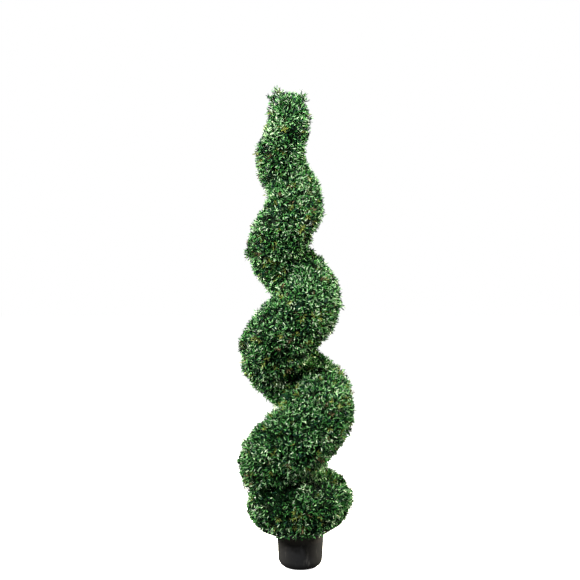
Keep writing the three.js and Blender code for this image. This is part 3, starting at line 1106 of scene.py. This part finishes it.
def growLeaves(feet, ways, lengths, starts, draw):
    # leaf pairs up each twig, each a quarter turn from the last, and leaning less towards the twig's tip
    count = len(feet)
    side = crossways(ways, draw)
    roots, aims, faces, sizes, twigs, climbs = [], [], [], [], [], []
    for pair in range(foliage["pairs"]):
        share = foliage["firstPair"] + (1 - foliage["firstPair"]) * pair / (foliage["pairs"] - 1)
        reach = starts + (lengths - starts) * share
        for half in (0, 1):
            turn = (pair * 0.5 + half) * math.pi + foliage["turnSpread"] * draw.normal(size=count)
            lean = spread(foliage["leafLean"], share) + foliage["leanSpread"] * draw.normal(size=count)
            lean = np.radians(lean)
            outward = turnedAbout(side, ways, turn)
            aim = ways * np.cos(lean)[:, None] + outward * np.sin(lean)[:, None]
            face = ways * np.sin(lean)[:, None] - outward * np.cos(lean)[:, None]
            face = turnedAbout(face, aim, foliage["roll"] * draw.normal(size=count))
            size = spread(foliage["leafLength"], draw.random(count))
            last = pair == foliage["pairs"] - 1
            roots.append(feet + ways * reach[:, None])
            aims.append(aim)
            faces.append(face)
            sizes.append(size * (foliage["tipSize"] if last else 1))
            twigs.append(np.arange(count))
            climbs.append(np.full(count, pair / (foliage["pairs"] - 1)))
    return [np.concatenate(parts) for parts in (roots, aims, faces, sizes, twigs, climbs)]


def joinedPiece(name, places, faces, tintNumbers=None):
    # a mesh of many copies: places is copies x corners x 3, and faces are those of one copy
    copies, corners = places.shape[:2]
    perFace = faces.shape[1]
    loops = (faces[None] + (np.arange(copies) * corners)[:, None, None]).reshape(-1).astype(np.int32)
    mesh = bpy.data.meshes.new(name)
    mesh.vertices.add(copies * corners)
    mesh.vertices.foreach_set("co", places.reshape(-1).astype(np.float32))
    mesh.loops.add(len(loops))
    mesh.loops.foreach_set("vertex_index", loops)
    mesh.polygons.add(len(loops) // perFace)
    mesh.polygons.foreach_set("loop_start", np.arange(0, len(loops), perFace, dtype=np.int32))
    if tintNumbers is not None:
        mesh.polygons.foreach_set("material_index", np.repeat(tintNumbers, len(faces)).astype(np.int32))
    mesh.update(calc_edges=True)
    piece = bpy.data.objects.new(name, mesh)
    bpy.context.scene.collection.objects.link(piece)
    return piece


def makePlainMaterial(name, colour, roughness):
    material = bpy.data.materials.new(name)
    material.use_nodes = True
    shader = material.node_tree.nodes["Principled BSDF"]
    shader.inputs["Base Color"].default_value = colour
    shader.inputs["Roughness"].default_value = roughness
    shader.inputs["Specular IOR Level"].default_value = plainSheen
    return material


leafPlaces, leafFaces = makeLeafTemplate()
twigPlaces, twigFaces = makeTwigTemplate()
leafMaterials = [
    makePlainMaterial(name, colour, rough) for name, (colour, rough, _) in (tints | oddTints).items()
]
twigMaterial = makePlainMaterial("twigGreen", twigLook["colour"], twigLook["roughness"])


def dealTints(points, sprays, twigs, climbs, stray, draw):
    # each spray has its own shade, that its twigs and leaves stray from
    # each tint gets its share of all leaves
    shades = tintSpread["spray"] * draw.random(len(points)) + waveAt(points, patches, patchWaves)
    shades = shades[sprays]
    shades += tintSpread["twig"] * draw.normal(size=len(sprays))
    # sprays in the recess get no odd tints, so its painted shade stays dark
    odd = draw.random(len(sprays)) / np.where(stray, foliage["strayOdds"], 1) + recessAt(points)[sprays]
    shades = shades[twigs] + tintSpread["leaf"] * draw.normal(size=len(twigs))
    # leaves at a twig's foot take darker tints: two-tone sprigs, and painted shade deeper in the sprays
    shades += tintSpread["climb"] * climbs
    ranks = shades.argsort().argsort() / len(shades)
    ends = np.cumsum([share for _, _, share in tints.values()])
    # pale tints are dealt less often low down and in the recess: painted shade
    paintedShade = 1 + tintSpread["footPaintedShade"] * np.clip(1 - points[:, 2] / tintSpread["paintedShadeBelow"], 0, 1)
    paintedShade += tintSpread["recessPaintedShade"] * recessAt(points)
    numbers = np.searchsorted(ends / ends[-1], ranks ** paintedShade[sprays][twigs], side="right")
    low = 0
    for i, (_, _, share) in enumerate(oddTints.values()):
        ofTwig = ((odd >= low) & (odd < low + share))[twigs]
        numbers = np.where(ofTwig, len(tints) + i, numbers)
        low += share
    return numbers


def besideFrame(points):
    places = moved(points, poleFrame)
    low = np.array(cadLow) - foliage["pastFrame"]
    high = np.array(cadHigh) + foliage["pastFrame"]
    return ((places > low) & (places < high)).all(axis=1)


def buildMass(name, node, points, normals, draw, past, extra=()):
    height = spread(foliage["mainHeight"], draw.random(len(points)) ** foliage["fewTall"])
    reach = np.where(draw.random(len(points)) < foliage["strayShare"], foliage["strayReach"], 0)
    height += reach
    points = points + normals * swellAt(points)[:, None]
    if extra:
        tips = np.array([tip for tip, _ in extra])
        tall = np.array([tallness for _, tallness in extra])
        up = np.tile((0.0, 0.0, 1.0), (len(extra), 1))
        points = np.concatenate([points, tips - up * (tall + foliage["leafLength"][0])[:, None]])
        normals = np.concatenate([normals, up * foliage["leaderStiffness"]])
        height = np.concatenate([height, tall])
        reach = np.concatenate([reach, tall])
    feet, ways, lengths, starts, sprays = growTwigs(points, normals, height, draw)
    roots, aims, faces, sizes, twigs, climbs = growLeaves(feet, ways, lengths, starts, draw)
    ends = roots + aims * sizes[:, None]
    loose = foliage["tuftShare"] * draw.random(len(points))[sprays]
    loose = spread(foliage["overreach"], loose + (1 - foliage["tuftShare"]) * draw.random(len(feet)))
    fits = past(ends) < swellAt(ends) + (loose + reach[sprays])[twigs]
    fits &= clearOfTray(ends) & clearOfTray(roots)
    fits &= pastAll(roots) > -foliage["depth"] - foliage["hidden"]
    fits &= besideFrame(ends)
    clear = clearOfTray(feet + ways * lengths[:, None])
    fits &= (clear & clear[sprays])[twigs]
    isMain = np.arange(len(feet)) < len(points)
    leafy = np.isin(np.arange(len(feet)), twigs[fits])
    leafy |= isMain & np.isin(sprays, sprays[leafy])
    leafTints = dealTints(points, sprays, twigs, climbs, reach[sprays] > 0, draw)[fits]
    roots, aims, faces, sizes = roots[fits], aims[fits], faces[fits], sizes[fits]
    across = np.cross(aims, faces)
    local = leafPlaces[None] * sizes[:, None, None]
    places = (
        roots[:, None]
        + across[:, None] * local[..., :1] * foliage["leafShare"]
        + aims[:, None] * local[..., 1:2]
        + faces[:, None] * local[..., 2:]
    )
    leaves = joinedPiece("leaves_" + name, moved(places, poleFrame), leafFaces, leafTints)
    for material in leafMaterials:
        leaves.data.materials.append(material)
    side = crossways(ways, draw)
    thick = foliage["twigRadius"] * np.where(isMain, 1, foliage["sideThickness"])
    places = (
        feet[:, None]
        + side[:, None] * twigPlaces[None, :, :1] * thick[:, None, None]
        + np.cross(ways, side)[:, None] * twigPlaces[None, :, 1:2] * thick[:, None, None]
        + ways[:, None] * twigPlaces[None, :, 2:] * lengths[:, None, None]
    )
    twigsPiece = joinedPiece("twigs_" + name, moved(places[leafy], poleFrame), twigFaces)
    finishPiece(leaves, [node])
    finishPiece(twigsPiece, (), twigMaterial)
    print(name, len(points), "sprays,", len(roots), "leaves")
    return len(roots) * len(leafFaces) + leafy.sum() * len(twigFaces)


def pastAll(points):
    return np.minimum(pastCoil(points), pastCushion(points))


# At the front the cushion's outline reaches further down, over the tray's rim.
def pastDroop(points):
    return pastCushion(points) - np.maximum(hangAt(points), 0) * (points[:, 2] < foliage["droopHeight"])


def makeWaves(shape, draw):
    length = spread(shape["length"], draw.random(shape["waves"]))
    ways = unit(draw.normal(size=(shape["waves"], 3))) * (2 * math.pi / length)[:, None]
    return ways, draw.random(shape["waves"]) * 2 * math.pi


def waveAt(points, shape, waves):
    ways, phases = waves
    return shape["depth"] * np.sin(points @ ways.T + phases).sum(axis=1) * math.sqrt(2 / shape["waves"])


# How near points are to the recess, 1 in its middle.
def recessAt(points):
    turn = np.degrees(np.arctan2(points[:, 1], points[:, 0])) % 360
    first, last = recess["turns"]
    height = spread(recess["heights"], (turn - first) / (last - first))
    inside = np.clip(np.minimum(turn - first, last - turn) / recess["fade"], 0, 1)
    return inside * np.exp(-((points[:, 2] - height) / recess["width"]) ** 2)


def swellAt(points):
    return waveAt(points, swells, swellWaves) - recess["depth"] * recessAt(points)


draw = np.random.default_rng(foliage["seed"])
swellWaves = makeWaves(swells, draw)
patchWaves = makeWaves(patches, draw)


def buildFoliage():
    points, normals, climbs = coilRoots(draw)
    kept = thinned(points, foliage["spacing"])
    points, normals, climbs = points[kept], normals[kept], climbs[kept]
    names = [f"coil_{i + 1}" for i in range(coil["joints"])] + ["top"]
    stretch = np.searchsorted(joints, climbs)
    triangles = 0
    for i, name in enumerate(names):
        own = stretch == i
        extra = leaders if name == "top" else ()
        triangles += buildMass(
            name, "foliage_" + name, points[own], normals[own], draw, pastCoil, extra,
        )
    points, normals = cushionRoots(draw)
    kept = thinned(points, foliage["spacing"])
    triangles += buildMass("base", "foliage_base", points[kept], normals[kept], draw, pastDroop)
    print("foliage done,", triangles, "triangles")


buildFoliage()
